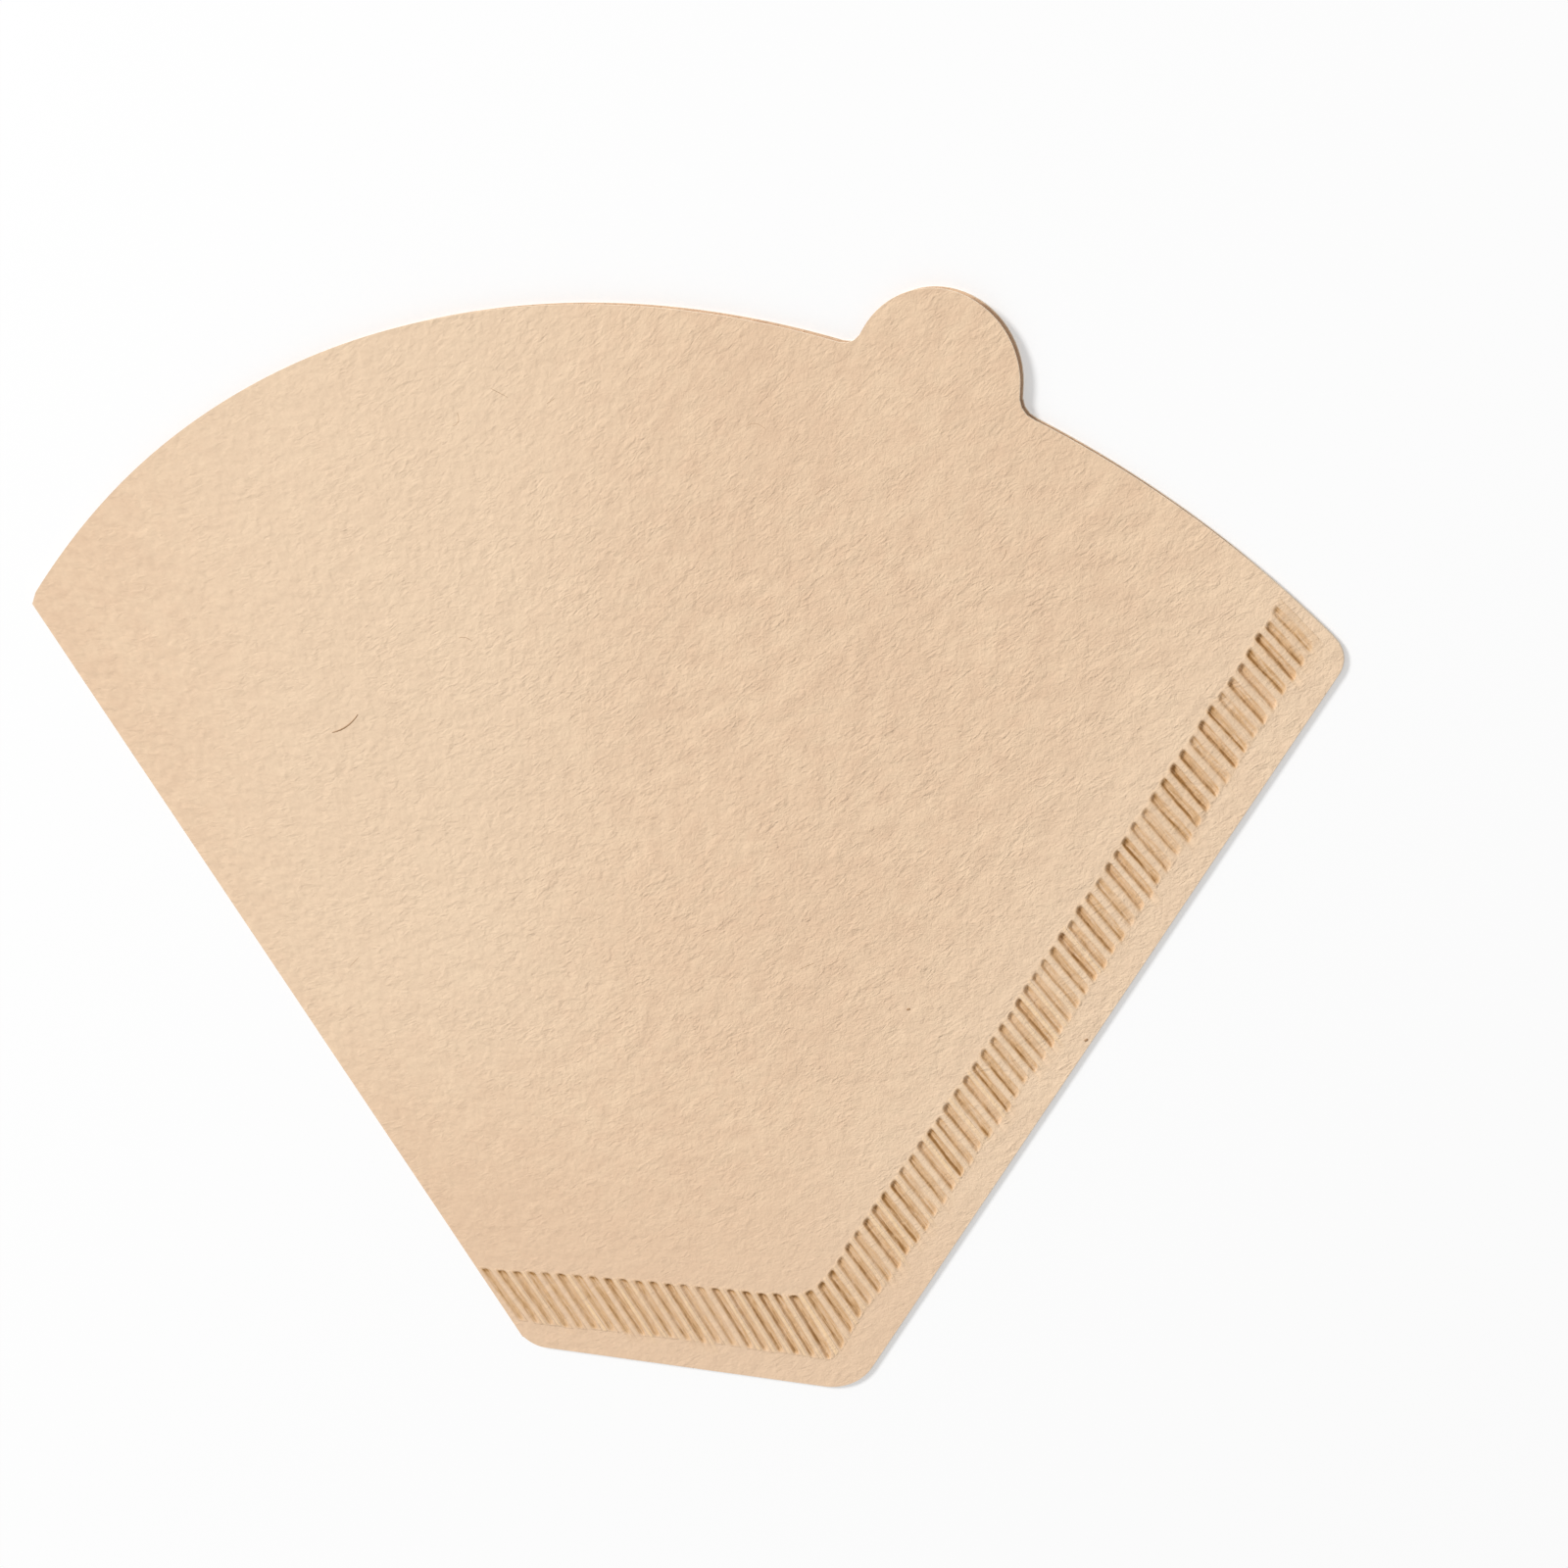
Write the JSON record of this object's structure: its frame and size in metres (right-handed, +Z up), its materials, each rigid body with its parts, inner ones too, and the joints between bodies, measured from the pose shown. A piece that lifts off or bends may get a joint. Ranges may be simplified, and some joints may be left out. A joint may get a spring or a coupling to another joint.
{
  "type": "paper coffee filter",
  "caption": "Flat-folded trapezium coffee filter of unbleached kraft paper, crimped along the bottom and one side, with a round open mouth and a grip tab.",
  "frame": {"origin": "on the underside of the back wall, under the middle of the box", "axes": "+X across the filter from the fold to the side seam, +Y from the bottom seam to the mouth, +Z up out of the front wall"},
  "size_m": [0.169, 0.1338, 0.0017],
  "materials": {
    "kraft_paper": "matte"
  },
  "bodies": {
    "root": {"filter_paper": "kraft_paper"}
  },
  "joints": []
}
